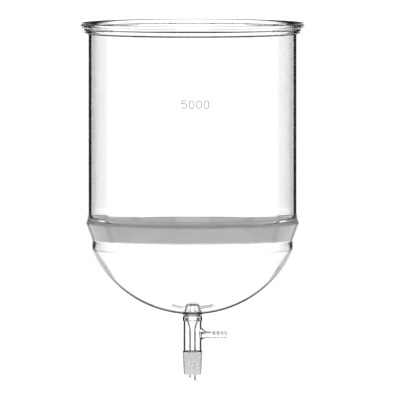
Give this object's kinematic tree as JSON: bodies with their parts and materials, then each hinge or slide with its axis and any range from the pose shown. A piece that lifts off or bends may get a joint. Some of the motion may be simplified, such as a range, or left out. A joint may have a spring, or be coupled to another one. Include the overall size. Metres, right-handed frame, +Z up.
{
  "type": "fritted filter funnel",
  "caption": "Large glass filter funnel with a porous disc, a round bowl, a ground joint, a drip tube and a vacuum side arm.",
  "frame": {"origin": "centre of the ground joint's large end, on the funnel's axis", "axes": "+Z up along the funnel's axis, from the joint towards the rim; +X along the side arm towards the hose end; -Y is the front, where the capacity figures are"},
  "size_m": [0.213, 0.213, 0.3402],
  "materials": {
    "clear_glass": "clear, flame-polished borosilicate glass",
    "ground_glass": "borosilicate glass with a fine ground, frosted surface",
    "sintered_glass": "opaque white sintered glass grains",
    "enamel": "pale grey fired enamel"
  },
  "bodies": {
    "root": {"rim_flange": "clear_glass", "reservoir_wall": "clear_glass", "disc_collar": "clear_glass", "fritted_disc": "sintered_glass", "lower_bowl": "clear_glass", "outlet_boss": "clear_glass", "neck_ring": "clear_glass", "stem_jacket": "clear_glass", "drip_tube": "clear_glass", "ground_joint": "ground_glass", "side_arm": "clear_glass", "hose_barb": "clear_glass", "capacity_mark": "enamel"}
  },
  "joints": []
}
